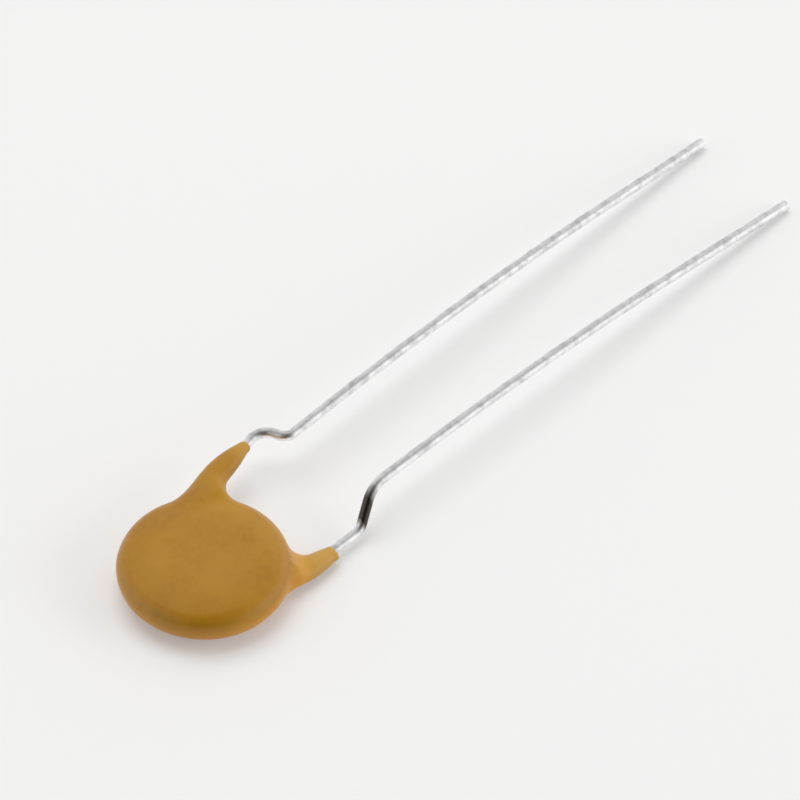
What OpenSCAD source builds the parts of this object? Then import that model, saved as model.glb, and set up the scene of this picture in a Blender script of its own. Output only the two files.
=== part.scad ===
// Disc varistor with radial leads.
//
// A pressed metal-oxide ceramic disc carries a thin silver electrode on each
// face. One tinned wire is soldered to each electrode, and the whole is dipped
// in resin, which runs a little way out along both wires and dries there as
// two tapered legs. Past the legs each wire has a crimp, which brings the two
// runs to one height and to the standard lead pitch. The runs bow gently down,
// so that the part lies on its rear face and on the ends of its leads.
//
// Units are millimetres. The origin is the middle of the rear face. +Z is up,
// out of the front face, and the leads leave along +X: the front lead on the
// +Y side and the rear lead on the -Y side.

/* [Ceramic disc] */
// Diameter of the ceramic disc
ceramic_d = 7; // [5.8:0.1:8.4]
// Thickness of the ceramic disc
ceramic_t = 0.7; // [0.5:0.01:1]
// Radius of the disc's pressed edges
ceramic_edge_r = 0.12; // [0.05:0.01:0.2]

/* [Electrodes and solder] */
// Bare margin between an electrode and the edge of the ceramic
electrode_margin = 0.4; // [0.2:0.05:0.6]
// Thickness of a printed electrode
electrode_t = 0.05; // [0.03:0.01:0.08]
// Thickness of the solder under a wire
solder_film_t = 0.02; // [0.01:0.01:0.05]
// Thickness of the solder over a wire
solder_cover_t = 0.08; // [0.04:0.01:0.12]
// Distance from the ends of a solder joint to the wire's end and the electrode's edge
solder_margin = 0.25; // [0.15:0.05:0.4]
// Radius of a solder joint at its blunt ends
solder_end_r = 0.18; // [0.12:0.02:0.24]

/* [Coating] */
// Thickness of the resin round the edge of the ceramic
edge_coat_t = 0.65; // [0.5:0.05:0.9]
// Thickness of the resin over the wires, at the middle of a face
wire_coat_t = 0.28; // [0.25:0.01:0.5]
// Radius of the rounded rim
rim_r = 0.9; // [0.7:0.05:1.1]
// Diameter of the flat in the middle of each face
flat_d = 3; // [2:0.1:4]

/* [Coating legs] */
// How far the front leg reaches past the rim, along X
front_leg_len = 2.2; // [1.6:0.05:2.8]
// How far the rear leg reaches past the rim, along X
rear_leg_len = 1.25; // [1:0.05:2.4]
// Length of the nose of the front leg, over which it swells from its tip
front_nose_len = 1.7; // [0.8:0.05:2]
// Length of the nose of the rear leg
rear_nose_len = 2.3; // [1.2:0.05:2.6]
// Resin on a leg's outer side, away from the other leg
leg_outer_t = 0.55; // [0.3:0.05:0.6]
// Resin on a leg's inner side, towards the other leg
leg_inner_t = 0.16; // [0.1:0.02:0.4]
// Resin over the wire, on the side of a leg that is nearer its own face of the disc
leg_top_t = 0.14; // [0.1:0.02:0.3]
// Resin on the opposite side of a leg, towards the disc's middle plane
leg_under_t = 0.28; // [0.2:0.02:0.4]
// Resin on the outer side of the front leg's tip
front_tip_t = 0.06; // [0.04:0.01:0.2]
// Resin on the outer side of the rear leg's tip
rear_tip_t = 0.26; // [0.1:0.01:0.3]
// Resin on the other sides of a leg's tip
tip_film_t = 0.03; // [0.02:0.01:0.06]
// Radius of the blend into the rim on a leg's outer side
outer_blend_r = 4.5; // [3:0.1:5.5]
// Radius of the blend into the rim on a leg's inner side
inner_blend_r = 0.85; // [0.4:0.05:0.9]
// Radius of the blend into the rim's round on a leg's middle side
under_blend_r = 1.1; // [0.3:0.1:1.4]

/* [Leads] */
// Diameter of the wire
wire_d = 0.5; // [0.36:0.01:0.6]
// Lead pitch, where the runs leave their crimps
pitch = 5; // [4.2:0.1:6]
// Length of the leads past the rim
lead_len = 32; // [18:0.5:40]
// Straight length at the end of each lead
tail_len = 6; // [3:0.5:8]
// Radius of the slow downward bow of the runs
bow_r = 145; // [120:5:300]
// Angle by which each run opens outwards
fan_angle = 0.6; // [0:0.1:1.5]
// How far a wire reaches over the disc, past its point nearest to the middle
wire_past = 1.1; // [0.6:0.1:1.5]
// Height by which the front crimp lifts its lead; the rear lead comes up to match
front_lift = 0.18; // [0:0.02:0.4]

/* [Front lead] */
// Sideways step of the front crimp
front_jog = 1.15; // [0.8:0.05:1.4]
// Length of the front crimp, along X
front_crimp_len = 0.55; // [0.4:0.05:1.6]
// Angle by which the front wire spreads, from the disc to the end of its leg
front_spread = 12; // [6:0.5:14]
// Length of the front lead's shoulder, from its leg to its crimp
front_shoulder_len = 1.05; // [0.9:0.05:2]
// Radius of the bend into the front crimp
front_bend_in_r = 0.5; // [0.35:0.05:0.6]
// Radius of the bend out of the front crimp
front_bend_out_r = 0.4; // [0.35:0.05:0.6]

/* [Rear lead] */
// Sideways step of the rear crimp
rear_jog = 0.6; // [0.4:0.05:1.2]
// Length of the rear crimp, along X
rear_crimp_len = 1.4; // [1.2:0.05:2]
// Angle by which the rear wire spreads, from the disc to the end of its leg
rear_spread = 7; // [4:0.5:10]
// Length of the rear lead's shoulder, from its leg to its crimp
rear_shoulder_len = 1.8; // [1:0.05:2.4]
// Radius of the bend into the rear crimp
rear_bend_in_r = 0.4; // [0.35:0.05:0.6]
// Radius of the bend out of the rear crimp
rear_bend_out_r = 0.9; // [0.35:0.05:1]

/* [Hidden] */
$fn = 64;

FRONT = 1;                             // side of the front lead: up and +Y
REAR = -1;                             // side of the rear lead: down and -Y

wire_r = wire_d / 2;
electrode_r = ceramic_d / 2 - electrode_margin;
electrode_h = ceramic_t / 2 + electrode_t;   // face of an electrode, over the middle plane
wire_h = electrode_h + solder_film_t + wire_r;
run_h = wire_h + front_lift;

body_r = ceramic_d / 2 + edge_coat_t;
mid_z = wire_h + wire_r + wire_coat_t;       // height of the disc's middle plane
flat_r = flat_d / 2;

// Sizes of one lead and of its leg
// [side, leg length, nose length, jog, crimp length, spread, shoulder length,
//  radii of the two bends, resin on the outer side of the tip]
front = [FRONT, front_leg_len, front_nose_len, front_jog, front_crimp_len,
         front_spread, front_shoulder_len, front_bend_in_r, front_bend_out_r, front_tip_t];
rear = [REAR, rear_leg_len, rear_nose_len, rear_jog, rear_crimp_len,
        rear_spread, rear_shoulder_len, rear_bend_in_r, rear_bend_out_r, rear_tip_t];

function side(lead) = lead[0];
function leg_tip_x(lead) = body_r + lead[1];
function nose_len(lead) = lead[2];
function shoulder_y(lead) = pitch / 2 + lead[3];
function shoulder_x(lead) = leg_tip_x(lead) + lead[6];
function crimp_x(lead) = shoulder_x(lead) + lead[4];
function spread(lead) = lead[5];
function bend_in_r(lead) = lead[7];
function bend_out_r(lead) = lead[8];
function tip_outer_t(lead) = lead[9];

// ---- The straight line of a wire over the disc and through its leg ----

// The wire leaves its leg straight and bends towards X just past the tip
knee_r = 1.5;
function knee_x(lead) = leg_tip_x(lead) + knee_r * tan(spread(lead) / 2);

// Distance of the line from the disc's middle. Places along it are measured
// from the point nearest to the middle.
function line_offset(lead) =
    shoulder_y(lead) * cos(spread(lead)) - knee_x(lead) * sin(spread(lead));
function line_at_x(lead, x) = (x + line_offset(lead) * sin(spread(lead))) / cos(spread(lead));
function line_point(lead, u) = let (a = spread(lead), v = line_offset(lead)) [
    u * cos(a) - v * sin(a),
    side(lead) * (u * sin(a) + v * cos(a)),
    mid_z + side(lead) * wire_h
];

// Puts its children on the line at u, with +X along it and +Z out of the face
module on_line(lead, u) {
    translate([0, 0, mid_z])
        rotate([side(lead) == FRONT ? 0 : 180, 0, 0])
            rotate([0, 0, spread(lead)])
                translate([u, line_offset(lead), 0])
                    children();
}

// ---- Route of a lead ----

run_start_len = 1.2;                   // straight wire between the crimp and the bow

// The run in its own upright plane, before it is tipped: straight, bow, tail
function bow_angle(lead) =
    (body_r + lead_len - crimp_x(lead) - run_start_len - tail_len) / bow_r * 180 / PI;
function bow_corner_len(lead) = bow_r * tan(bow_angle(lead) / 2);
function run_corner(lead) = [run_start_len + bow_corner_len(lead), 0];
function run_end(lead) = run_corner(lead)
    + (bow_corner_len(lead) + tail_len) * [cos(bow_angle(lead)), -sin(bow_angle(lead))];

// The run starts with the rise that brings its end down onto the surface
run_drop = mid_z + run_h - wire_r;
function rise(lead) = let (end = run_end(lead))
    atan2(-end.y, end.x) - asin(run_drop / norm(end));
function on_run(lead, p) =
    let (
        along = p.x * cos(rise(lead)) - p.y * sin(rise(lead)),
        up = p.x * sin(rise(lead)) + p.y * cos(rise(lead))
    )
    [along * cos(fan_angle), side(lead) * along * sin(fan_angle), up];

function crimp_end(lead) = [crimp_x(lead), side(lead) * pitch / 2, mid_z + run_h];

// Corners of a lead's centre line, from its inner end to its outer end
function route(lead) = let (y = side(lead) * shoulder_y(lead), z = mid_z + side(lead) * wire_h) [
    line_point(lead, -wire_past),
    [knee_x(lead), y, z],
    [shoulder_x(lead), y, z],
    crimp_end(lead),
    crimp_end(lead) + on_run(lead, run_corner(lead)),
    crimp_end(lead) + on_run(lead, run_end(lead))
];

// Bend radius at each corner; the two ends have none
function bend_radii(lead) = [0, knee_r, bend_in_r(lead), bend_out_r(lead), bow_r, 0];

// ---- Bent wire ----

// A bend is a hair thicker than the wire, and a straight runs a little way into it
bend_swell = 0.003;
bend_lap = 0.02;

function unit(v) = v / norm(v);
function dir(path, i) = unit(path[i + 1] - path[i]);
function turn(path, i) = acos(dir(path, i - 1) * dir(path, i));

// Length that the bend at corner i takes from each of its two straights
function bend_len(path, radii, i) = radii[i] * tan(turn(path, i) / 2);

// Matrix that puts the origin at c, +X along x and +Y along y
function placed(c, x, y) = let (z = cross(x, y)) [
    [x.x, y.x, z.x, c.x],
    [x.y, y.y, z.y, c.y],
    [x.z, y.z, z.z, c.z],
    [0, 0, 0, 1]
];

module straight_wire(path, radii, i) {
    start_cut = i == 0 ? 0 : bend_len(path, radii, i) - bend_lap;
    end_cut = i == len(path) - 2 ? 0 : bend_len(path, radii, i + 1) - bend_lap;
    d = dir(path, i);
    translate(path[i] + d * start_cut)
        rotate([0, acos(d.z), atan2(d.y, d.x)])
            cylinder(d = wire_d, h = norm(path[i + 1] - path[i]) - start_cut - end_cut);
}

module wire_bend(path, radii, i) {
    before = dir(path, i - 1);
    after = dir(path, i);
    inwards = unit(after - before * (before * after));
    start = path[i] - before * bend_len(path, radii, i);
    multmatrix(placed(start + inwards * radii[i], -inwards, before))
        rotate_extrude(angle = turn(path, i))
            translate([radii[i], 0])
                circle(wire_r + bend_swell);
}

// The straight stretch of a lead that lies in the coating
module inner_wire(lead) {
    straight_wire(route(lead), bend_radii(lead), 0);
}

module wire(lead) {
    path = route(lead);
    radii = bend_radii(lead);
    for (i = [0 : len(path) - 2]) straight_wire(path, radii, i);
    for (i = [1 : len(path) - 2]) wire_bend(path, radii, i);
}

// ---- Ceramic, electrodes and solder ----

module ceramic() {
    translate([0, 0, mid_z - ceramic_t / 2])
        rotate_extrude()
            difference() {
                square([ceramic_d / 2, ceramic_t]);
                translate([ceramic_d / 2, 0]) edge_waste();
                translate([ceramic_d / 2, ceramic_t]) mirror([0, 1]) edge_waste();
            }
}

// What a pressed edge takes off the lower right corner of a section
module edge_waste() {
    spare = 0.1;
    difference() {
        translate([-ceramic_edge_r, -spare])
            square(ceramic_edge_r + spare);
        translate([-ceramic_edge_r, ceramic_edge_r])
            circle(ceramic_edge_r);
    }
}

module electrode(s) {
    bottom = s == FRONT ? ceramic_t / 2 : -electrode_h;
    translate([0, 0, mid_z + bottom])
        cylinder(r = electrode_r, h = electrode_t);
}

// A solder joint runs along the wire, over the stretch that lies on the electrode
solder_r = solder_film_t + wire_d + solder_cover_t;
function on_electrode_end(lead) = sqrt(pow(electrode_r, 2) - pow(line_offset(lead), 2));
function solder_len(lead) = on_electrode_end(lead) + wire_past - 2 * solder_margin;

// Barrel with its axis in the electrode's face, blunt at both ends
module solder_barrel(length) {
    swell = solder_r - solder_end_r;
    arc_r = (pow(length / 2, 2) + pow(swell, 2)) / (2 * swell);
    rotate_extrude()
        intersection() {
            translate([solder_r - arc_r, 0])
                circle(arc_r, $fn = 180);
            translate([0, -length / 2])
                square([solder_r, length]);
        }
}

module solder(lead) {
    difference() {
        on_line(lead, (on_electrode_end(lead) - wire_past) / 2)
            translate([0, 0, electrode_h])
                intersection() {
                    rotate([0, 90, 0])
                        solder_barrel(solder_len(lead));
                    translate([-solder_len(lead), -solder_r * 2, 0])
                        cube([solder_len(lead) * 2, solder_r * 4, solder_r * 2]);
                }
        inner_wire(lead);
    }
}

// ---- Coated disc ----

// The face leaves its flat as a gentle crown, which ends on the rim's round
round_r = min(rim_r, mid_z - 0.05);
crown_run = body_r - round_r - flat_r;
crown_r = (pow(crown_run, 2) + pow(mid_z, 2) - pow(round_r, 2)) / (2 * (mid_z - round_r));
crown_end = flat_r + crown_r * crown_run / (crown_r - round_r);

// Upper half of the coated disc's half section
module half_section() {
    square([flat_r, mid_z]);
    intersection() {
        translate([flat_r, mid_z - crown_r])
            circle(crown_r, $fn = 240);
        translate([flat_r, 0])
            square([crown_end - flat_r, mid_z]);
    }
    intersection() {
        translate([body_r - round_r, 0])
            circle(round_r, $fn = 96);
        translate([crown_end, 0])
            square([body_r - crown_end, round_r]);
    }
}

module coated_disc() {
    translate([0, 0, mid_z])
        rotate_extrude($fn = 128) {
            half_section();
            mirror([0, 1]) half_section();
        }
}

// ---- Coating legs ----

// A leg is lofted along its wire's line. Each section is an oval with four half
// sizes: out from the other leg, in towards it, up to the face and under.

LEG_SIDES = 28;
LEG_FULLNESS = 0.95;                   // 1 for oval sections, less for fuller ones
ROOT_FULLNESS = 0.75;
function full(c, fullness) = sign(c) * pow(abs(c), fullness);

function leg_tip(lead) = line_at_x(lead, leg_tip_x(lead));
function at_rim(lead) = sqrt(pow(body_r, 2) - pow(line_offset(lead), 2));
function leg_start(lead) = at_rim(lead) - 2.4;

// Places of a leg's sections: wide apart in the disc, close in the tight blends
// at the rim, and wider apart again towards the tip
fine_before = 0.2;
fine_after = 1.2;
function steps(from, to, count) = [for (k = [0 : count - 1]) mix(from, to, k / count)];
function stations(lead) =
    let (fine_from = inner_end(lead) - fine_before, fine_to = fine_from + fine_after)
    concat(
        steps(leg_start(lead), fine_from, 9),
        steps(fine_from, fine_to, 12),
        steps(fine_to, leg_tip(lead), 8),
        [leg_tip(lead)]
    );

// A blend of radius r touches the leg's side and the disc's edge. It leaves the
// side at start, and reaches the edge at end; c is its centre's offset there.
function blend_start(r, c) = sqrt(pow(body_r + r, 2) - pow(c, 2));
function blend_end(r, c) = blend_start(r, c) * body_r / (body_r + r);
function blend(u, start, r) =
    u >= start ? 0 : r - sqrt(max(0, pow(r, 2) - pow(start - u, 2)));

function ease(t) = let (s = max(0, min(1, t))) s * s * (3 - 2 * s);
function mix(a, b, t) = a + (b - a) * t;

// Resin thickness at u, from tip_t at the tip to full_t behind the nose
function nose_t(lead, u, tip_t, full_t) =
    mix(tip_t, full_t, sin(90 * min(1, (leg_tip(lead) - u) / nose_len(lead))));

function outer_c(lead) = line_offset(lead) + wire_r + leg_outer_t + outer_blend_r;
function inner_c(lead) = line_offset(lead) - wire_r - leg_inner_t - inner_blend_r;
function outer_end(lead) = blend_end(outer_blend_r, outer_c(lead));
function inner_end(lead) = blend_end(inner_blend_r, inner_c(lead));
function outer_blend(lead, u) =
    blend(max(u, outer_end(lead)), blend_start(outer_blend_r, outer_c(lead)), outer_blend_r);
function inner_blend(lead, u) =
    blend(max(u, inner_end(lead)), blend_start(inner_blend_r, inner_c(lead)), inner_blend_r);
function under_blend(lead, u) =
    let (
        rise = wire_h - wire_r - leg_under_t - under_blend_r,
        run = sqrt(pow(round_r + under_blend_r, 2) - pow(rise, 2)),
        round_c = at_rim(lead) - round_r
    )
    blend(max(u, round_c + run * round_r / (round_r + under_blend_r)), round_c + run, under_blend_r);

// The widest line of a section sinks from the wire's height towards the middle
// plane, where the disc's edge is
root_rise = 0.05;                      // how much higher a leg starts, inside the rim
edge_share = 0.3;                      // part of the wire's height left at the edge
function wide_h(lead, u) = wire_h * mix(edge_share, 1,
    ease((u - at_rim(lead)) / (blend_start(outer_blend_r, outer_c(lead)) - at_rim(lead))));

function section(lead, u) =
    let (
        inside = ease((u - leg_start(lead)) / (at_rim(lead) - leg_start(lead))),
        past_rim = ease(u - at_rim(lead)),
        outer = wire_r + nose_t(lead, u, tip_outer_t(lead), leg_outer_t) + outer_blend(lead, u) * inside,
        inner = wire_r + nose_t(lead, u, tip_film_t, leg_inner_t) + inner_blend(lead, u) * inside,
        fullness = mix(ROOT_FULLNESS, LEG_FULLNESS, past_rim),
        middle = wide_h(lead, u),
        top = wire_h + wire_r + nose_t(lead, u, tip_film_t, leg_top_t) + root_rise * (1 - past_rim),
        bottom = wire_h - wire_r - nose_t(lead, u, tip_film_t, leg_under_t)
            - under_blend(lead, u) * inside
    )
    [
        for (i = [0 : LEG_SIDES - 1])
            let (a = 360 * i / LEG_SIDES, c = full(cos(a), fullness), s = full(sin(a), fullness))
                [u, c * (c > 0 ? outer : inner), middle + s * (s > 0 ? top - middle : middle - bottom)]
    ];

module leg(lead) {
    places = stations(lead);
    last = len(places) - 1;
    points = [for (u = places) each section(lead, u)];
    walls = [
        for (k = [0 : last - 1], i = [0 : LEG_SIDES - 1])
            let (a = k * LEG_SIDES + i, b = k * LEG_SIDES + (i + 1) % LEG_SIDES)
                each [[a, b + LEG_SIDES, b], [a, a + LEG_SIDES, b + LEG_SIDES]]
    ];
    root = [for (i = [0 : LEG_SIDES - 1]) i];
    tip = [for (i = [LEG_SIDES - 1 : -1 : 0]) last * LEG_SIDES + i];
    on_line(lead, 0)
        polyhedron(points, concat(walls, [root, tip]));
}

// ---- Nodes ----

module coating() {
    color([0.70, 0.50, 0.20])
        difference() {
            union() {
                coated_disc();
                leg(front);
                leg(rear);
            }
            ceramic();
            electrode(FRONT);
            electrode(REAR);
            solder(front);
            solder(rear);
            inner_wire(front);
            inner_wire(rear);
        }
}

module ceramic_disc() {
    color([0.22, 0.22, 0.24]) ceramic();
}

module front_electrode() {
    color([0.85, 0.85, 0.83]) electrode(FRONT);
}

module rear_electrode() {
    color([0.85, 0.85, 0.83]) electrode(REAR);
}

module front_solder() {
    color([0.72, 0.73, 0.75]) solder(front);
}

module rear_solder() {
    color([0.72, 0.73, 0.75]) solder(rear);
}

module front_lead() {
    color([0.80, 0.81, 0.82]) wire(front);
}

module rear_lead() {
    color([0.80, 0.81, 0.82]) wire(rear);
}

coating();
ceramic_disc();
front_electrode();
rear_electrode();
front_solder();
rear_solder();
front_lead();
rear_lead();
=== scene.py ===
"""Looks of the leaded disc varistor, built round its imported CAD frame.

The coating and the two wire leads get smoother pieces of their own on the same
routes. The sealed ceramic, electrodes and solder joints keep their CAD meshes.
Part sizes are written in millimetres and each finished mesh is in metres. The
finishes and the studio are written in metres.
"""

import logging
import math
from collections.abc import Sequence
from dataclasses import dataclass, field
from enum import Enum

import bmesh
import bpy
from mathutils import Matrix, Vector, noise


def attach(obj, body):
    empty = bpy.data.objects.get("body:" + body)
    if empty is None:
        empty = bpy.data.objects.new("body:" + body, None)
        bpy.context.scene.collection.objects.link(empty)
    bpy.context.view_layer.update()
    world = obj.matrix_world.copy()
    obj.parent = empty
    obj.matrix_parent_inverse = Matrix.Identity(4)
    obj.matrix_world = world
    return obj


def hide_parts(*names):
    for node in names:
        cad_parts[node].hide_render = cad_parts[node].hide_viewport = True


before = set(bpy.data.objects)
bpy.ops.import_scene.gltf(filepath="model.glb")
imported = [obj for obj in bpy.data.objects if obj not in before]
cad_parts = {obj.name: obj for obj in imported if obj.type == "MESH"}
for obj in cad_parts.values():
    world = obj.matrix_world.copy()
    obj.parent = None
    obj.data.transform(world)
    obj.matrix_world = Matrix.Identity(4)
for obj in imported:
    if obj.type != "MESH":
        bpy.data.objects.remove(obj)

LOG = logging.getLogger("varistor")

MM = 0.001
BODY = "root"
UP = Vector((0.0, 0.0, 1.0))

Colour = tuple[float, float, float, float]
Triple = tuple[float, float, float]
Span = tuple[float, float]
Socket = bpy.types.NodeSocket
BMesh = bmesh.types.BMesh
BMVert = bmesh.types.BMVert
BMEdge = bmesh.types.BMEdge

WHITE: Colour = (1.0, 1.0, 1.0, 1.0)
RISING: Span = (0.0, 1.0)
FALLING: Span = (1.0, 0.0)
# Most of a noise texture's values lie in this span
NOISE_SPAN: Span = (0.3, 0.7)
# Share of the way to its neighbours' middle that a vertex moves in one smoothing
SMOOTH_SHARE = 0.5
# Vertices nearer than these become one: in a finished piece and at the disc's seam
MERGE_GAP = 1e-5
SEAM_GAP = 1e-4


class Side(Enum):
    """Which of the two leads: front is up and +Y, rear is down and -Y."""

    FRONT = 1
    REAR = -1


# ---- Node helpers ----


class NodeTree:
    """A shader node tree with short calls for adding and joining nodes."""

    def __init__(self, tree: bpy.types.NodeTree) -> None:
        """Empties the tree and keeps it.

        Args:
            tree: The node tree of a material or world.
        """
        self.tree = tree
        tree.nodes.clear()

    def add(self, kind: str, **sockets: object) -> bpy.types.Node:
        """Adds a node and sets its inputs by name, with _ for spaces.

        Args:
            kind: The node's class name.
            **sockets: Values for its inputs.

        Returns:
            The new node.
        """
        node = self.tree.nodes.new(kind)
        for name, value in sockets.items():
            node.inputs[name.replace("_", " ")].default_value = value
        return node

    def join(self, source: Socket, target: Socket) -> None:
        """Links an output socket to an input socket."""
        self.tree.links.new(source, target)

    def object_place(self, scale: Triple = (1.0, 1.0, 1.0)) -> Socket:
        """Object coordinates, scaled along each axis.

        Args:
            scale: Factors along X, Y and Z.

        Returns:
            The scaled coordinate.
        """
        place = self.add("ShaderNodeTexCoord")
        mapping = self.add("ShaderNodeMapping", Scale=scale)
        self.join(place.outputs["Object"], mapping.inputs["Vector"])
        return mapping.outputs["Vector"]

    def noise(
        self, place: Socket, scale: float, detail: float, roughness: float = 0.5
    ) -> Socket:
        """A noise value over the given coordinates.

        Args:
            place: Coordinates to read.
            scale: Waves in a metre.
            detail: Number of finer layers.
            roughness: Strength of the finer layers.

        Returns:
            The noise value, from 0 to 1.
        """
        texture = self.add(
            "ShaderNodeTexNoise", Scale=scale, Detail=detail, Roughness=roughness
        )
        self.join(place, texture.inputs["Vector"])
        return texture.outputs["Fac"]

    def spread(self, value: Socket, span: Span, to: Span = RISING) -> Socket:
        """Maps a value from one span to another, held at both ends.

        Args:
            value: The value to map.
            span: Start and end of its span.
            to: What the start and the end become.

        Returns:
            The mapped value.
        """
        node = self.add("ShaderNodeMapRange")
        node.inputs["From Min"].default_value = span[0]
        node.inputs["From Max"].default_value = span[1]
        node.inputs["To Min"].default_value = to[0]
        node.inputs["To Max"].default_value = to[1]
        self.join(value, node.inputs["Value"])
        return node.outputs["Result"]

    def blend(self, share: Socket, a: Colour | Socket, b: Colour | Socket) -> Socket:
        """Blends two colours.

        Args:
            share: 0 for the first colour, 1 for the second.
            a: First colour, or where it comes from.
            b: Second colour, or where it comes from.

        Returns:
            The blended colour.
        """
        node = self.add("ShaderNodeMix")
        node.data_type = "RGBA"
        # A Mix node repeats its socket names, so its colour sockets go by number
        for colour, socket in ((a, node.inputs[6]), (b, node.inputs[7])):
            if isinstance(colour, Socket):
                self.join(colour, socket)
            else:
                socket.default_value = colour
        self.join(share, node.inputs[0])
        return node.outputs[2]

    def dot(self, value: Socket, direction: Triple) -> Socket:
        """Share of a vector that lies along a direction.

        Args:
            value: The vector.
            direction: The direction.

        Returns:
            Their dot product.
        """
        node = self.add("ShaderNodeVectorMath")
        node.operation = "DOT_PRODUCT"
        node.inputs[1].default_value = direction
        self.join(value, node.inputs[0])
        return node.outputs["Value"]

    def reckon(self, operation: str, a: Socket, b: Socket) -> Socket:
        """Works out a Math node on two values.

        Args:
            operation: The node's operation.
            a: First value.
            b: Second value.

        Returns:
            The result.
        """
        node = self.add("ShaderNodeMath")
        node.operation = operation
        self.join(a, node.inputs[0])
        self.join(b, node.inputs[1])
        return node.outputs["Value"]

    def multiply(self, a: Socket, b: Socket) -> Socket:
        """Product of two values."""
        return self.reckon("MULTIPLY", a, b)

    def bump(
        self, height: Socket, depth: float, strength: float, under: Socket | None = None
    ) -> Socket:
        """A bumped normal.

        Args:
            height: Height value, from 0 to 1.
            depth: Depth of the bumps in metres.
            strength: How much they show.
            under: A normal to bump further, if any.

        Returns:
            The normal.
        """
        node = self.add("ShaderNodeBump", Strength=strength, Distance=depth)
        self.join(height, node.inputs["Height"])
        if under is not None:
            self.join(under, node.inputs["Normal"])
        return node.outputs["Normal"]


def new_material(name: str) -> tuple[bpy.types.Material, NodeTree, bpy.types.Node]:
    """Makes an empty surface material.

    Args:
        name: The material's name.

    Returns:
        The material, its node tree, and its surface shader.
    """
    material = bpy.data.materials.new(name)
    material.use_nodes = True
    tree = NodeTree(material.node_tree)
    shader = tree.add("ShaderNodeBsdfPrincipled")
    output = tree.add("ShaderNodeOutputMaterial")
    tree.join(shader.outputs["BSDF"], output.inputs["Surface"])
    return material, tree, shader


# ---- Finishes ----


@dataclass(frozen=True)
class ResinFinish:
    """Dipped ochre resin: semi-gloss, softly mottled, with a faint orange peel.

    Low on the rim it is lighter and richer, which is painted light standing in for
    light bounced up from the floor. It is paler towards +X, partly for the thinner
    resin along the legs and partly as painted light from the right side.
    """

    name: str = "ochre_resin"
    pale: Colour = (0.441, 0.212, 0.0070, 1.0)
    deep: Colour = (0.352, 0.151, 0.0030, 1.0)
    # Painted light: this lighter, richer colour low on the rim stands in for light
    # bounced up from the floor
    rim: Colour = (0.740, 0.315, 0.0025, 1.0)
    # Partly the paler thin resin on the legs, partly painted light from the right side
    film_and_side_light: Colour = (0.550, 0.305, 0.056, 1.0)
    mottle_scale: float = 420.0
    mottle_span: Span = (0.32, 0.68)
    grain_scale: float = 3200.0
    grain_share: Span = (0.35, 1.0)
    floor_bounce_height: Span = (0.7 * MM, 1.7 * MM)
    pale_way: Triple = (1.0, -0.33, 0.0)
    pale_reach: Span = (3.9 * MM, 5.2 * MM)
    sheen_fineness: float = 2.3
    roughness: Span = (0.30, 0.42)
    peel_scale: float = 2600.0
    peel_depth: float = 0.02 * MM
    peel_strength: float = 0.25
    refraction: float = 1.5

    def build(self) -> bpy.types.Material:
        """Makes the material.

        Returns:
            The material.
        """
        material, tree, shader = new_material(self.name)
        place = tree.object_place()
        mottle = tree.noise(place, self.mottle_scale, detail=4.0, roughness=0.55)
        share = tree.spread(mottle, self.mottle_span)
        grain = tree.noise(place, self.grain_scale, detail=3.0, roughness=0.6)
        share = tree.multiply(share, tree.spread(grain, NOISE_SPAN, self.grain_share))
        resin = tree.blend(share, self.pale, self.deep)
        height = tree.dot(place, (0.0, 0.0, 1.0))
        # Painted light: the coat turns lighter low on the rim, in place of light
        # bounced up from the floor
        low = tree.spread(height, self.floor_bounce_height, FALLING)
        resin = tree.blend(low, resin, self.rim)
        # Paler towards +X: partly thinner resin on the legs, partly painted light from
        # the right side
        paler_share = tree.spread(tree.dot(place, self.pale_way), self.pale_reach)
        resin = tree.blend(paler_share, resin, self.film_and_side_light)
        tree.join(resin, shader.inputs["Base Color"])
        sheen_scale = self.mottle_scale * self.sheen_fineness
        sheen = tree.noise(place, sheen_scale, detail=3.0)
        gloss = tree.spread(sheen, NOISE_SPAN, self.roughness)
        tree.join(gloss, shader.inputs["Roughness"])
        peel = tree.noise(place, self.peel_scale, detail=2.0)
        normal = tree.bump(peel, self.peel_depth, self.peel_strength)
        tree.join(normal, shader.inputs["Normal"])
        shader.inputs["IOR"].default_value = self.refraction
        return material


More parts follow.
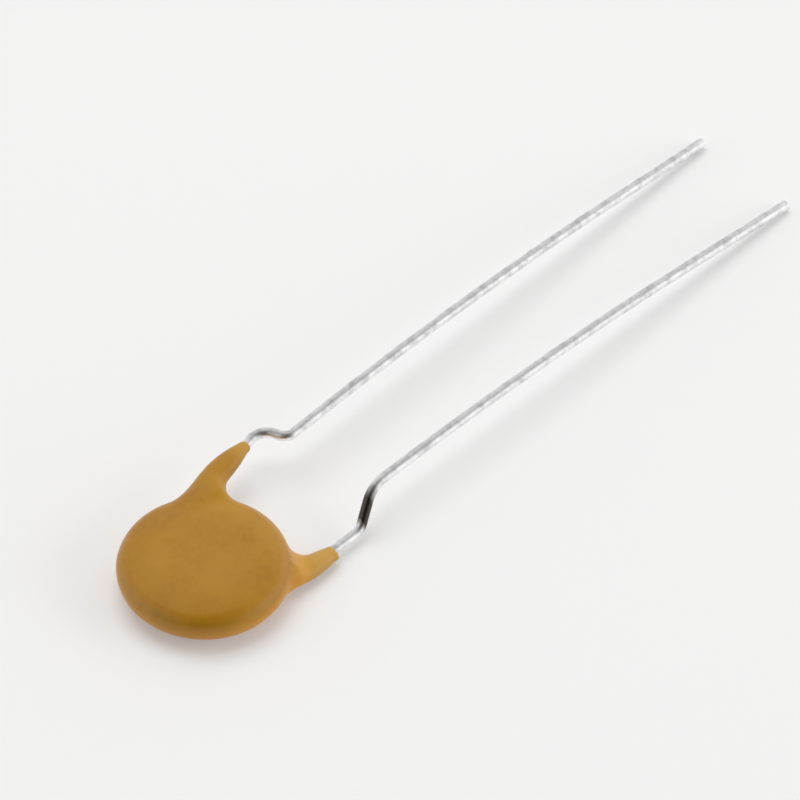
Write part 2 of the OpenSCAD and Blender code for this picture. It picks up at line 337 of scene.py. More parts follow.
@dataclass(frozen=True)
class TinnedWireFinish:
    """Bright tin over drawn wire: mottled gloss and fine marks along the wire.

    The crimp of the rear lead is painted dark, a painted reflection of dark
    surroundings.
    """

    name: str = "tinned_wire"
    bright: Colour = (0.98, 0.98, 0.982, 1.0)
    dull: Colour = (0.68, 0.68, 0.69, 1.0)
    # Painted reflection: a dark colour on the rear crimp in place of dark surroundings
    # mirrored in the tin
    dark_reflection: Colour = (0.085, 0.072, 0.062, 1.0)
    mottle_scale: float = 2300.0
    mottle_span: Span = (0.42, 0.7)
    mottle_depth: float = 0.025 * MM
    mottle_strength: float = 0.7
    roughness: Span = (0.25, 0.40)
    draw_stretch: Triple = (0.06, 1.0, 1.0)
    draw_scale: float = 6500.0
    draw_depth: float = 0.008 * MM
    draw_strength: float = 0.5
    dark_reflection_start: Span = (7.15 * MM, 7.4 * MM)
    dark_reflection_end: Span = (8.1 * MM, 8.75 * MM)
    dark_reflection_side: Span = (-0.2 * MM, 0.2 * MM)

    def build(self) -> bpy.types.Material:
        """Makes the material.

        Returns:
            The material.
        """
        material, tree, shader = new_material(self.name)
        shader.inputs["Metallic"].default_value = 1.0
        place = tree.object_place()
        mottle = tree.noise(place, self.mottle_scale, detail=4.0, roughness=0.6)
        tin = tree.blend(tree.spread(mottle, self.mottle_span), self.bright, self.dull)
        # Painted reflection: the rear crimp is painted dark
        tin = tree.blend(self.dark_reflection_share(tree, place), tin, self.dark_reflection)
        tree.join(tin, shader.inputs["Base Color"])
        gloss = tree.spread(mottle, NOISE_SPAN, self.roughness)
        tree.join(gloss, shader.inputs["Roughness"])
        along = tree.object_place(self.draw_stretch)
        drawn = tree.noise(along, self.draw_scale, detail=3.0)
        normal = tree.bump(drawn, self.draw_depth, self.draw_strength)
        normal = tree.bump(mottle, self.mottle_depth, self.mottle_strength, normal)
        tree.join(normal, shader.inputs["Normal"])
        return material

    def dark_reflection_share(self, tree: NodeTree, place: Socket) -> Socket:
        """Share of the painted dark reflection at a place: all on the rear crimp, none
        elsewhere.

        Args:
            tree: The material's nodes.
            place: Object coordinates.

        Returns:
            The share, from 0 to 1.
        """
        along = tree.dot(place, (1.0, 0.0, 0.0))
        start = tree.spread(along, self.dark_reflection_start)
        end = tree.spread(along, self.dark_reflection_end, FALLING)
        across = tree.dot(place, (0.0, 1.0, 0.0))
        rear = tree.spread(across, self.dark_reflection_side, FALLING)
        return tree.multiply(tree.multiply(start, end), rear)


@dataclass(frozen=True)
class GrainFinish:
    """A plain grained finish for the sealed pieces: ceramic, silver or solder."""

    name: str
    light: Colour
    dark: Colour
    metallic: float
    roughness: Span
    grain_scale: float
    grain_depth: float
    grain_span: Span = (0.35, 0.65)
    grain_strength: float = 0.5

    def build(self) -> bpy.types.Material:
        """Makes the material.

        Returns:
            The material.
        """
        material, tree, shader = new_material(self.name)
        shader.inputs["Metallic"].default_value = self.metallic
        place = tree.object_place()
        grain = tree.noise(place, self.grain_scale, detail=5.0, roughness=0.6)
        share = tree.spread(grain, self.grain_span)
        colour = tree.blend(share, self.light, self.dark)
        tree.join(colour, shader.inputs["Base Color"])
        gloss = tree.spread(grain, NOISE_SPAN, self.roughness)
        tree.join(gloss, shader.inputs["Roughness"])
        normal = tree.bump(grain, self.grain_depth, self.grain_strength)
        tree.join(normal, shader.inputs["Normal"])
        return material


CERAMIC_FINISH = GrainFinish(
    name="sintered_ceramic",
    light=(0.055, 0.058, 0.062, 1.0),
    dark=(0.028, 0.030, 0.034, 1.0),
    metallic=0.0,
    roughness=(0.55, 0.75),
    grain_scale=6000.0,
    grain_depth=0.01 * MM,
)
SILVER_FINISH = GrainFinish(
    name="fired_silver",
    light=(0.80, 0.79, 0.75, 1.0),
    dark=(0.66, 0.65, 0.61, 1.0),
    metallic=1.0,
    roughness=(0.42, 0.6),
    grain_scale=5000.0,
    grain_depth=0.005 * MM,
)
SOLDER_FINISH = GrainFinish(
    name="solder",
    light=(0.62, 0.63, 0.65, 1.0),
    dark=(0.46, 0.47, 0.50, 1.0),
    metallic=1.0,
    roughness=(0.22, 0.42),
    grain_scale=1800.0,
    grain_depth=0.02 * MM,
)


# ---- Mesh helpers ----


def ring(bm: BMesh, sides: int, place: Matrix) -> list[BMEdge]:
    """Makes a ring of radius 1 in its XY plane and puts it in place.

    Args:
        bm: The mesh to add to.
        sides: Number of sides.
        place: Turn, size and place of the ring.

    Returns:
        The ring's edges.
    """
    made = bmesh.ops.create_circle(bm, segments=sides, radius=1.0, matrix=place)
    return list(dict.fromkeys(e for vert in made["verts"] for e in vert.link_edges))


def pull(bm: BMesh, edges: list[BMEdge], change: Matrix) -> list[BMEdge]:
    """Extrudes a ring's edges and moves the new ring.

    Args:
        bm: The mesh.
        edges: The ring's edges.
        change: What to do to the new ring.

    Returns:
        The new ring's edges.
    """
    made = bmesh.ops.extrude_edge_only(bm, edges=edges)["geom"]
    verts = [item for item in made if isinstance(item, BMVert)]
    bmesh.ops.transform(bm, matrix=change, verts=verts)
    moved = set(verts)
    return [
        item
        for item in made
        if isinstance(item, BMEdge) and moved.issuperset(item.verts)
    ]


def loft(bm: BMesh, sides: int, places: Sequence[Matrix]) -> None:
    """Lofts a closed form through rings.

    Args:
        bm: The mesh to add to.
        sides: Number of sides of each ring.
        places: Turn, size and place of each ring in turn.
    """
    edges = ring(bm, sides, places[0])
    bmesh.ops.contextual_create(bm, geom=edges)
    for before, after in zip(places, places[1:]):
        edges = pull(bm, edges, after @ before.inverted())
    bmesh.ops.contextual_create(bm, geom=edges)


def finish_piece(
    name: str, bm: BMesh, material: bpy.types.Material, replaced: str
) -> bpy.types.Object:
    """Turns a mesh in millimetres into a finished piece in metres.

    Args:
        name: The piece's name.
        bm: Its mesh, which is freed.
        material: Its material.
        replaced: The CAD node it replaces.

    Returns:
        The piece.
    """
    bmesh.ops.remove_doubles(bm, verts=bm.verts, dist=MERGE_GAP)
    bmesh.ops.recalc_face_normals(bm, faces=bm.faces)
    bmesh.ops.transform(bm, matrix=Matrix.Scale(MM, 4), verts=bm.verts)
    for face in bm.faces:
        face.smooth = True
    mesh = bpy.data.meshes.new(name)
    bm.to_mesh(mesh)
    bm.free()
    mesh.materials.append(material)
    piece = bpy.data.objects.new(name, mesh)
    bpy.context.scene.collection.objects.link(piece)
    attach(piece, BODY)
    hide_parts(replaced)
    return piece


# ---- Wire leads ----


@dataclass
class Lead:
    """One bent wire lead: corners of its centre line and the bend at each corner.

    A bend of more than the least bow radius is a bow, and gets finer steps.
    """

    side: Side
    corners: tuple[Triple, ...]
    bends: tuple[float, ...]
    wire_r: float = 0.25
    sides: int = 28
    end_round: float = 0.035
    end_steps: int = 3
    straight_step: float = 1.0
    bend_steps: int = 12
    bow_steps: int = 26
    least_bow_r: float = 10.0
    piece: bpy.types.Object = field(init=False)

    @property
    def node(self) -> str:
        """Name of the lead's CAD node."""
        return f"{self.side.name.lower()}_lead"

    def stretch(self, index: int) -> Vector:
        """Way from a corner to the next one."""
        return Vector(self.corners[index + 1]) - Vector(self.corners[index])

    def direction(self, index: int) -> Vector:
        """Unit direction of the straight after a corner."""
        return self.stretch(index).normalized()

    def bend_length(self, index: int) -> float:
        """Works out how much of each straight the bend at a corner takes.

        Args:
            index: Number of the corner.

        Returns:
            The length, which is 0 at the two ends.
        """
        if self.bends[index] == 0.0:
            return 0.0
        turn = self.direction(index - 1).angle(self.direction(index))
        return self.bends[index] * math.tan(turn / 2)

    def build_mesh(self) -> BMesh:
        """Sweeps the wire along its route.

        Returns:
            The mesh in millimetres.
        """
        bm = bmesh.new()
        turn = UP.rotation_difference(self.direction(0)).to_matrix().to_4x4()
        size = Matrix.Diagonal((self.wire_r, self.wire_r, 1.0, 1.0))
        start = Matrix.Translation(Vector(self.corners[0]))
        edges = ring(bm, self.sides, start @ turn @ size)
        bmesh.ops.contextual_create(bm, geom=edges)
        for index in range(len(self.corners) - 1):
            length = self.stretch(index).length
            length -= self.bend_length(index) + self.bend_length(index + 1)
            edges = self.run_straight(bm, edges, self.direction(index), length)
            if index + 2 < len(self.corners):
                edges = self.run_bend(bm, edges, index + 1)
        cap = bmesh.ops.contextual_create(bm, geom=edges)["faces"]
        bmesh.ops.bevel(
            bm,
            geom=[edge for face in cap for edge in face.edges],
            offset=self.end_round,
            offset_type="OFFSET",
            affect="EDGES",
            segments=self.end_steps,
            profile=0.5,
            material=-1,
        )
        return bm

    def run_straight(
        self, bm: BMesh, edges: list[BMEdge], heading: Vector, length: float
    ) -> list[BMEdge]:
        """Pulls the ring along a straight in even steps.

        Args:
            bm: The mesh.
            edges: The ring to pull.
            heading: Direction of the straight.
            length: Its length.

        Returns:
            The ring at its far end.
        """
        steps = max(1, round(length / self.straight_step))
        for _ in range(steps):
            edges = pull(bm, edges, Matrix.Translation(heading * (length / steps)))
        return edges

    def run_bend(self, bm: BMesh, edges: list[BMEdge], index: int) -> list[BMEdge]:
        """Spins the ring round the bend at a corner.

        Args:
            bm: The mesh.
            edges: The ring to spin.
            index: Number of the corner.

        Returns:
            The ring after the bend.
        """
        before, after = self.direction(index - 1), self.direction(index)
        inwards = (after - before * before.dot(after)).normalized()
        start = Vector(self.corners[index]) - before * self.bend_length(index)
        is_bow = self.bends[index] > self.least_bow_r
        made = bmesh.ops.spin(
            bm,
            geom=edges,
            cent=start + inwards * self.bends[index],
            axis=before.cross(after).normalized(),
            dvec=(0, 0, 0),
            angle=before.angle(after),
            steps=self.bow_steps if is_bow else self.bend_steps,
            use_merge=False,
            use_normal_flip=False,
            use_duplicate=False,
        )
        return [item for item in made["geom_last"] if isinstance(item, BMEdge)]

    def build(self, material: bpy.types.Material) -> None:
        """Builds the lead's piece and dresses it.

        Args:
            material: The wire's material.
        """
        name = f"{self.node}_wire"
        wire = self.build_mesh()
        self.piece = finish_piece(name, wire, material, self.node)


FRONT_LEAD = Lead(
    Side.FRONT,
    corners=(
        (-1.53695, 1.94007, 1.87),
        (6.50766, 3.65, 1.87),
        (7.38, 3.84, 1.96),
        (7.97, 2.45, 2.04),
        (19.6652, 2.62269, 2.29363),
        (36.0558, 2.79433, 0.25),
    ),
    bends=(0.0, 1.5, 0.9, 0.5, 145.0, 0.0),
)
REAR_LEAD = Lead(
    Side.REAR,
    corners=(
        (-1.38522, -2.25562, 0.53),
        (5.49174, -3.1, 0.53),
        (7.2, -3.1, 0.53),
        (8.6, -2.5, 2.05),
        (19.9895, -2.61927, 2.24301),
        (36.0572, -2.78754, 0.25),
    ),
    bends=(0.0, 1.5, 0.8, 1.6, 145.0, 0.0),
)


# ---- Coating ----


def ease(t: float) -> float:
    """A soft step from 0 to 1."""
    s = min(1.0, max(0.0, t))
    return s * s * (3 - 2 * s)


def between(start: float, end: float, share: float) -> float:
    """Value that lies a share of the way from start to end."""
    return start + (end - start) * share


@dataclass(frozen=True)
class RootBlend:
    """A round blend of radius r between a leg and the disc.

    It starts on the leg and ends on the disc. Both are measured along the leg.
    """

    start: float
    end: float
    r: float

    @classmethod
    def against(
        cls, round_r: float, r: float, offset: float, centre: float = 0.0
    ) -> "RootBlend":
        """Fits a blend that touches the leg and a round of the disc.

        Args:
            round_r: Radius of the disc's round.
            r: Radius of the blend.
            offset: How far beside the round's centre the blend's centre lies.
            centre: Where the round's centre lies along the leg.

        Returns:
            The blend.
        """
        run = math.sqrt((round_r + r) ** 2 - offset**2)
        return cls(centre + run, centre + run * round_r / (round_r + r), r)

    def height(self, u: float) -> float:
        """Height of the blend over the leg's side, held beyond its end.

        Args:
            u: Place along the leg.

        Returns:
            The height, which is 0 before the blend starts.
        """
        u = max(u, self.end)
        if u >= self.start:
            return 0.0
        return self.r - math.sqrt(max(0.0, self.r * self.r - (self.start - u) ** 2))


@dataclass(frozen=True)
class Leg:
    """A tapered coating leg round one wire, with its sizes on each side.

    A size ending in _t is a thickness of resin over the wire. Those of the tip
    swell to the full ones over the length of the nose.
    """

    side: Side
    tip_x: float
    line_y: float
    spread: float
    tip_outer_t: float
    nose: float = 2.3
    outer_t: float = 0.55
    inner_t: float = 0.16
    under_t: float = 0.28
    top_t: float = 0.14
    tip_film_t: float = 0.03
    outer_blend_r: float = 7.0
    inner_blend_r: float = 0.95
    under_blend_r: float = 1.1
    contact_h: float = 0.59
    wire_r: float = 0.25
    wire_h: float = 0.67
    root_depth: float = 2.4
    root_rise: float = 0.07
    root_sink: float = 0.14
    sides: int = 40
    stations: int = 60

    @property
    def lean(self) -> float:
        """Angle between the leg and the X axis."""
        return math.radians(self.spread)

    def at_rim(self, disc_r: float) -> float:
        """Place along the leg at which it leaves a disc."""
        return math.sqrt(disc_r**2 - self.line_y**2)

    def root_blends(self, disc_r: float, rim_r: float) -> tuple[RootBlend, ...]:
        """Fits the blends of the leg's root.

        Args:
            disc_r: Radius of the disc.
            rim_r: Radius of the disc's round rim.

        Returns:
            The blends on the outer, inner and under side.
        """
        contact_r = disc_r - rim_r + math.sqrt(rim_r**2 - self.contact_h**2)
        outer_c = self.line_y + self.wire_r + self.outer_t + self.outer_blend_r
        inner_c = self.line_y - self.wire_r - self.inner_t - self.inner_blend_r
        rise = self.wire_h - self.wire_r - self.under_t - self.under_blend_r
        rim_c = self.at_rim(disc_r) - rim_r
        return (
            RootBlend.against(contact_r, self.outer_blend_r, outer_c),
            RootBlend.against(contact_r, self.inner_blend_r, inner_c),
            RootBlend.against(rim_r, self.under_blend_r, rise, rim_c),
        )

    def section(
        self, u: float, swell: float, at_rim: float, blends: tuple[RootBlend, ...]
    ) -> tuple[Span, Span]:
        """Measures the section of the leg at one place.

        Args:
            u: The place along the leg.
            swell: Share of the full thickness there, from 0 to 1.
            at_rim: Place at which the leg leaves the disc.
            blends: The blends on the outer, inner and under side.

        Returns:
            Its reach inwards and outwards from the wire's line, and its lowest and
            highest point over the disc's middle.
        """
        outer_blend, inner_blend, under_blend = blends
        root = at_rim - self.root_depth
        clear = ease((u - root) / (at_rim - root))
        outer = self.wire_r + between(self.tip_outer_t, self.outer_t, swell)
        outer += outer_blend.height(u) * clear
        inner = self.wire_r + between(self.tip_film_t, self.inner_t, swell)
        inner += inner_blend.height(u) * clear
        top = self.wire_h + self.wire_r + between(self.tip_film_t, self.top_t, swell)
        top += self.root_rise * (1 - ease(u - at_rim))
        top -= self.root_sink * (1 - clear)
        bottom = self.wire_h - self.wire_r
        bottom -= between(self.tip_film_t, self.under_t, swell)
        bottom -= under_blend.height(u) * clear
        return (inner, outer), (bottom, top)

    def places(self, disc_r: float, rim_r: float, mid_z: float) -> list[Matrix]:
        """Rings of the leg from its root, deep in the disc, to its tip.

        Args:
            disc_r: Radius of the disc.
            rim_r: Radius of the disc's round rim.
            mid_z: Height of the disc's middle.

        Returns:
            Turn, size and place of each ring.
        """
        lean = self.lean
        tip = (self.tip_x + self.line_y * math.sin(lean)) / math.cos(lean)
        at_rim = self.at_rim(disc_r)
        root = at_rim - self.root_depth
        blends = self.root_blends(disc_r, rim_r)
        quarter = math.pi / 2
        upright = Matrix.Rotation(quarter, 4, "Y") @ Matrix.Rotation(quarter, 4, "Z")
        turn = Matrix.Rotation(lean, 4, "Z")
        flip = Matrix.Rotation(0.0 if self.side is Side.FRONT else math.pi, 4, "X")
        places = []
        for k in range(self.stations + 1):
            u = root + (tip - root) * k / self.stations
            swell = math.sin(quarter * min(1.0, (tip - u) / self.nose))
            (inner, outer), (low, high) = self.section(u, swell, at_rim, blends)
            centre = (u, self.line_y + (outer - inner) / 2, (high + low) / 2)
            half_sizes = ((outer + inner) / 2, (high - low) / 2, 1.0, 1.0)
            size = Matrix.Diagonal(half_sizes)
            on_line = turn @ Matrix.Translation(centre) @ upright @ size
            places.append(Matrix.Translation((0, 0, mid_z)) @ flip @ on_line)
        return places


FRONT_LEG = Leg(Side.FRONT, tip_x=6.31, line_y=2.21722, spread=12.0, tip_outer_t=0.02)
REAR_LEG = Leg(Side.REAR, tip_x=5.4, line_y=2.40762, spread=7.0, tip_outer_t=0.26)


@dataclass
class Coating:
    """The dipped coating: a crowned disc with a round rim and two legs.

    The root offsets are along and across a leg from where it leaves the disc.
    The leg swelling grows over swell_in from the rim and fades over swell_out.
    """

    radius: float = 4.15
    mid_z: float = 1.2
    rim_r: float = 0.9
    flat_r: float = 1.5
    crown_steps: int = 16
    rim_steps: int = 28
    turn_steps: int = 160
    voxel: float = 0.055
    fillet_r: float = 0.7
    smooth_rounds: int = 8
    root_offsets: tuple[Span, ...] = ((0.4, -0.95), (-0.6, 1.1), (-0.7, 0.2))
    root_lift: float = 0.3
    root_reaches: tuple[float, ...] = (1.4, 1.1, 0.8)
    root_rounds: int = 10
    leg_rounds: int = 8
    leg_swell: float = 0.045
    swell_in: float = 0.4
    swell_out: float = 0.9
    unevenness: float = 0.012
    wave: float = 1.9
    wave_shift: float = 0.5
    legs: tuple[Leg, Leg] = (FRONT_LEG, REAR_LEG)
    piece: bpy.types.Object = field(init=False)

    def add_disc(self, bm: BMesh) -> None:
        """Spins the crowned disc from its half section.

        Args:
            bm: The mesh to add to.
        """
        run = self.radius - self.rim_r - self.flat_r
        climb = self.mid_z - self.rim_r
        crown_r = (run**2 + self.mid_z**2 - self.rim_r**2) / (2 * climb)
        lean = math.atan2(run, crown_r - self.mid_z)
        top = 2 * self.mid_z
        middle = bm.verts.new((0.0, 0.0, top))
        tip = bmesh.ops.extrude_vert_indiv(bm, verts=[middle])["verts"][0]
        tip.co.x = self.flat_r
        arcs = (
            (self.flat_r, top - crown_r, lean, self.crown_steps),
            (self.radius - self.rim_r, self.mid_z, math.pi - 2 * lean, self.rim_steps),
            (self.flat_r, crown_r, lean, self.crown_steps),
        )
        for x, z, angle, steps in arcs:
            arc = bmesh.ops.spin(
                bm,
                geom=[tip],
                cent=(x, 0.0, z),
                axis=(0, 1, 0),
                dvec=(0, 0, 0),
                angle=angle,
                steps=steps,
                use_merge=False,
                use_normal_flip=False,
                use_duplicate=False,
            )
            tip = next(item for item in arc["geom_last"] if isinstance(item, BMVert))
        closing = bmesh.ops.extrude_vert_indiv(bm, verts=[tip])["verts"][0]
        closing.co = Vector((0.0, 0.0, 0.0))
        bmesh.ops.spin(
            bm,
            geom=list(bm.verts) + list(bm.edges),
            cent=(0, 0, 0),
            axis=(0, 0, 1),
            dvec=(0, 0, 0),
            angle=math.tau,
            steps=self.turn_steps,
            use_merge=True,
            use_normal_flip=False,
            use_duplicate=False,
        )
        bmesh.ops.remove_doubles(bm, verts=bm.verts, dist=SEAM_GAP)
        bmesh.ops.recalc_face_normals(bm, faces=bm.faces)

    def add_skin(self, form: bpy.types.Object) -> None:
        """Adds a modifier that gives the form one skin of even, small faces.

        Args:
            form: The form.
        """
        remesh = form.modifiers.new("skin", "REMESH")
        remesh.mode = "VOXEL"
        remesh.voxel_size = self.voxel
        remesh.use_smooth_shade = True

    def fuse(self, bm: BMesh) -> BMesh:
        """Fuses the overlapping forms into one skin and fills their inner corners.

        Shifting the skin outwards and back again leaves a round in each inner corner.

        Args:
            bm: Disc and legs as separate closed forms, which is freed.

        Returns:
            The fused skin.
        """
        mesh = bpy.data.meshes.new("coating_forms")
        bm.to_mesh(mesh)
        bm.free()
        form = bpy.data.objects.new("coating_forms", mesh)
        bpy.context.scene.collection.objects.link(form)
        self.add_skin(form)
        for shift in (self.fillet_r, -self.fillet_r):
            swell = form.modifiers.new("shift", "DISPLACE")
            swell.mid_level = 0.0
            swell.strength = shift
            self.add_skin(form)
        soften = form.modifiers.new("soften", "SMOOTH")
        soften.factor = SMOOTH_SHARE
        soften.iterations = self.smooth_rounds
        fused = bmesh.new()
        fused.from_object(form, bpy.context.evaluated_depsgraph_get())
        bpy.data.objects.remove(form)
        bpy.data.meshes.remove(mesh)
        return fused

    def smooth(self, bm: BMesh, verts: list[BMVert], rounds: int) -> None:
        """Smooths some of the skin a number of times.

        Args:
            bm: The fused skin.
            verts: The vertices to smooth.
            rounds: How many times.
        """
        for _ in range(rounds):
            bmesh.ops.smooth_vert(
                bm,
                verts=verts,
                factor=SMOOTH_SHARE,
                use_axis_x=True,
                use_axis_y=True,
                use_axis_z=True,
            )

    def soften_roots(self, bm: BMesh) -> None:
        """Lets the skin flow together where each leg leaves the disc.

        Args:
            bm: The fused skin.
        """
        for leg in self.legs:
            lean = Matrix.Rotation(leg.lean, 4, "Z")
            at_rim = leg.at_rim(self.radius)
            for along, across in self.root_offsets:
                root = lean @ Vector((at_rim + along, leg.line_y + across, 0.0))
                root.y *= leg.side.value
                root.z = self.mid_z + leg.side.value * self.root_lift
                for reach in self.root_reaches:
                    near = [v for v in bm.verts if (v.co - root).length < reach]
                    self.smooth(bm, near, self.root_rounds)
        beyond = [vert for vert in bm.verts if vert.co.x > self.radius]
        self.smooth(bm, beyond, self.leg_rounds)

    def swell_legs(self, bm: BMesh) -> None:
        """Gives the legs back the thickness that smoothing takes.

        The swelling grows from the disc's rim and fades towards each tip.

        Args:
            bm: The fused skin.
        """
        bm.normal_update()
        front, rear = self.legs
        for vert in bm.verts:
            if vert.co.x < self.radius / 2:
                continue
            leg = front if vert.co.y > 0 else rear
            outside = (vert.co.xy.length - self.radius) / self.swell_in
            before_tip = (leg.tip_x - vert.co.x) / self.swell_out
            share = min(1.0, max(0.0, min(outside, before_tip)))
            vert.co += vert.normal * (self.leg_swell * share)

    def make_uneven(self, bm: BMesh) -> None:
        """Moves the skin by the slight unevenness of a dip, mostly inwards.

        Args:
            bm: The fused skin.
        """
        bm.normal_update()
        for vert in bm.verts:
            wave = noise.noise(vert.co / self.wave) - self.wave_shift
            vert.co += vert.normal * (self.unevenness * wave)

    def build(self, material: bpy.types.Material) -> None:
        """Builds the coating's piece and dresses it.

        Args:
            material: The resin's material.
        """
        bm = bmesh.new()
        self.add_disc(bm)
        for leg in self.legs:
            loft(bm, leg.sides, leg.places(self.radius, self.rim_r, self.mid_z))
        bmesh.ops.recalc_face_normals(bm, faces=bm.faces)
        skin = self.fuse(bm)
        self.soften_roots(skin)
        self.swell_legs(skin)
        self.make_uneven(skin)
        self.piece = finish_piece(
            "coating_skin", skin, material, "coating"
        )


# ---- Sealed pieces ----


@dataclass
class SealedStack:
    """The pieces inside the coating, which keep their CAD meshes."""

    finishes: dict[str, GrainFinish] = field(
        default_factory=lambda: {
            "ceramic_disc": CERAMIC_FINISH,
            "front_electrode": SILVER_FINISH,
            "rear_electrode": SILVER_FINISH,
            "front_solder": SOLDER_FINISH,
            "rear_solder": SOLDER_FINISH,
        }
    )

    def dress(self) -> None:
        """Gives each sealed piece its finish."""
        made: dict[str, bpy.types.Material] = {}
        for node, finish in self.finishes.items():
            if finish.name not in made:
                made[finish.name] = finish.build()
            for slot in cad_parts[node].material_slots:
                slot.material = made[finish.name]
            LOG.info("dressed %s in %s", node, finish.name)


# ---- Studio ----


@dataclass(frozen=True)
class Glow:
    """A brighter patch of sky round one direction.

    Its span runs from the edge to the full glow, as shares of that direction.
    """

    towards: Triple
    span: Span
    most: float


@dataclass(frozen=True)
class Softbox:
    """A soft square lamp: place and side in metres, power in watts."""

    name: str
    place: Triple
    size: float
    power: float

    def hang(self) -> None:
        """Hangs the lamp in its place and points it at the part."""
        data = bpy.data.lights.new(self.name, "AREA")
        data.shape = "SQUARE"
        data.size = self.size
        data.energy = self.power
        lamp = bpy.data.objects.new(self.name, data)
        place = Vector(self.place)
        lamp.location = place
        lamp.rotation_mode = "QUATERNION"
        lamp.rotation_quaternion = (-place).to_track_quat("-Z", "Y")
        lamp.visible_glossy = False
        bpy.context.scene.collection.objects.link(lamp)


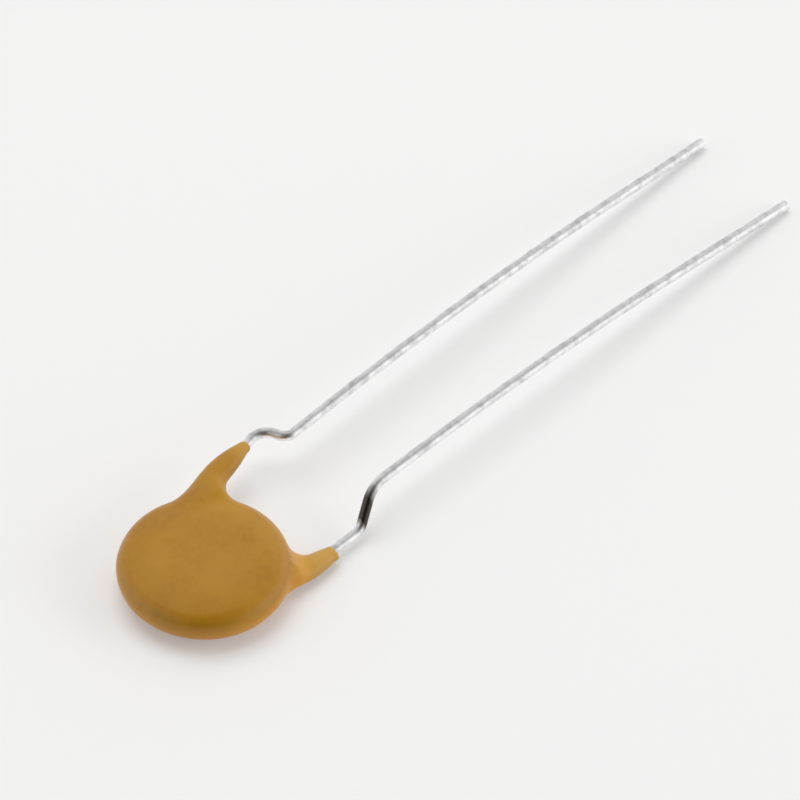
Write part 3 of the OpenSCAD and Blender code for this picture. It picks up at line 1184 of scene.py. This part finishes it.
@dataclass
class Studio:
    """Pale floor, soft light and the camera."""

    floor_colour: Colour = (0.68, 0.68, 0.68, 1.0)
    floor_glow: float = 0.234
    floor_half: float = 3.0
    sky: Colour = (0.625, 0.625, 0.625, 1.0)
    side_sky: Colour = (1.15, 1.15, 1.15, 1.0)
    side_span: Span = (0.5, 0.92)
    far_sky: Colour = (0.66, 0.66, 0.66, 1.0)
    far_way: Triple = (0.3, 0.9, 0.3)
    far_span: Span = (0.76, 0.98)
    near_sky: Colour = (0.095, 0.080, 0.066, 1.0)
    near_drop: float = -0.55
    near_span: Span = (-0.98, -0.18)
    middle_span: Span = (0.12, 0.5)
    glows: tuple[Glow, ...] = (
        Glow((-0.74, 0.17, 0.65), (0.94, 0.99), 0.6),
        Glow((0.97, 0.07, 0.22), (0.85, 0.97), 1.0),
    )
    softboxes: tuple[Softbox, ...] = (
        Softbox("side_softbox", (0.42, -0.62, 0.2), 0.5, 2.0),
        Softbox("overhead_softbox", (0.1, 0.24, 0.66), 0.6, 2.5),
    )
    azimuth: float = -45.0265
    elevation: float = 48.8895
    distance: float = 1.19145
    lens: float = 1145.82
    sensor: float = 36.0
    clip: Span = (0.05, 10.0)
    aim_right: float = 9.1575 * MM
    aim_up: float = 7.8569 * MM
    aim_z: float = 1.2 * MM

    def add_floor(self) -> None:
        """Lays a pale floor, which takes the shadow and lights the part by its colour.

        Its glow shows only to the camera and in gloss and glass.
        """
        bm = bmesh.new()
        bmesh.ops.create_grid(bm, x_segments=1, y_segments=1, size=self.floor_half)
        mesh = bpy.data.meshes.new("floor")
        bm.to_mesh(mesh)
        bm.free()
        floor = bpy.data.objects.new("floor", mesh)
        bpy.context.scene.collection.objects.link(floor)
        material, tree, shader = new_material("pale_floor")
        shader.inputs["Base Color"].default_value = self.floor_colour
        shader.inputs["Emission Color"].default_value = WHITE
        ray = tree.add("ShaderNodeLightPath").outputs
        seen = tree.reckon("MAXIMUM", ray["Is Camera Ray"], ray["Is Glossy Ray"])
        seen = tree.reckon("MAXIMUM", seen, ray["Is Transmission Ray"])
        glow = tree.spread(seen, RISING, (0.0, self.floor_glow))
        tree.join(glow, shader.inputs["Emission Strength"])
        shader.inputs["Roughness"].default_value = 1.0
        shader.inputs["Specular IOR Level"].default_value = 0.0
        mesh.materials.append(material)

    def right_vector(self) -> Vector:
        """Level direction to the right of the view."""
        a = math.radians(self.azimuth)
        return Vector((math.cos(a), math.sin(a), 0.0))

    def back_vector(self) -> Vector:
        """Direction from the part to the camera.

        Returns:
            The direction, of length 1.
        """
        a, e = math.radians(self.azimuth), math.radians(self.elevation)
        level = math.cos(e)
        return Vector((math.sin(a) * level, -math.cos(a) * level, math.sin(e)))

    def add_world(self) -> None:
        """Surrounds the part with soft light.

        The sky is brightest to the left and right. Between them it is dark from
        the near horizon to overhead, which shades the near rim of the disc.
        """
        world = bpy.data.worlds.new("studio")
        bpy.context.scene.world = world
        world.use_nodes = True
        tree = NodeTree(world.node_tree)
        output = tree.add("ShaderNodeOutputWorld")
        light = tree.add("ShaderNodeBackground", Strength=1.0)
        view = tree.add("ShaderNodeTexCoord").outputs["Generated"]
        across = tree.dot(view, tuple(self.right_vector()))
        aside = tree.multiply(across, across)
        side = tree.spread(aside, self.side_span)
        sky = tree.blend(side, self.sky, self.side_sky)
        far = tree.spread(tree.dot(view, self.far_way), self.far_span)
        sky = tree.blend(far, sky, self.far_sky)
        middle = tree.spread(aside, self.middle_span, FALLING)
        a = math.radians(self.azimuth)
        near_way = (math.sin(a), -math.cos(a), self.near_drop)
        near = tree.spread(tree.dot(view, near_way), self.near_span)
        sky = tree.blend(tree.multiply(middle, near), sky, self.near_sky)
        for glow in self.glows:
            along = tree.dot(view, glow.towards)
            share = tree.spread(along, glow.span, (0.0, glow.most))
            sky = tree.blend(share, sky, self.side_sky)
        tree.join(sky, light.inputs["Color"])
        tree.join(light.outputs["Background"], output.inputs["Surface"])

    def add_camera(self) -> None:
        """Puts the camera at the part's viewing angle."""
        data = bpy.data.cameras.new("camera")
        data.lens = self.lens
        data.sensor_width = self.sensor
        data.clip_start, data.clip_end = self.clip
        camera = bpy.data.objects.new("camera", data)
        bpy.context.scene.collection.objects.link(camera)
        back, right = self.back_vector(), self.right_vector()
        up = back.cross(right)
        aim = Vector((0, 0, self.aim_z)) + right * self.aim_right + up * self.aim_up
        camera.location = aim + back * self.distance
        camera.rotation_mode = "QUATERNION"
        camera.rotation_quaternion = (-back).to_track_quat("-Z", "Y")
        bpy.context.scene.camera = camera

    def build(self) -> None:
        """Builds the floor, the light and the camera."""
        self.add_floor()
        self.add_world()
        for softbox in self.softboxes:
            softbox.hang()
        self.add_camera()
        bpy.context.scene.view_settings.view_transform = "Standard"
        LOG.info("built the studio with %d softboxes", len(self.softboxes))


# ---- Build ----


def main() -> None:
    """Builds the coating, the leads, the sealed pieces and the studio."""
    logging.basicConfig(level=logging.INFO, format="%(name)s: %(message)s")
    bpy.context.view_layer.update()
    coating = Coating()
    coating.build(ResinFinish().build())
    LOG.info("built %s, %d faces", coating.piece.name, len(coating.piece.data.polygons))
    wire = TinnedWireFinish().build()
    for lead in (FRONT_LEAD, REAR_LEAD):
        lead.build(wire)
        LOG.info("built %s, %d faces", lead.piece.name, len(lead.piece.data.polygons))
    SealedStack().dress()
    Studio().build()


if __name__ == "__main__":
    main()
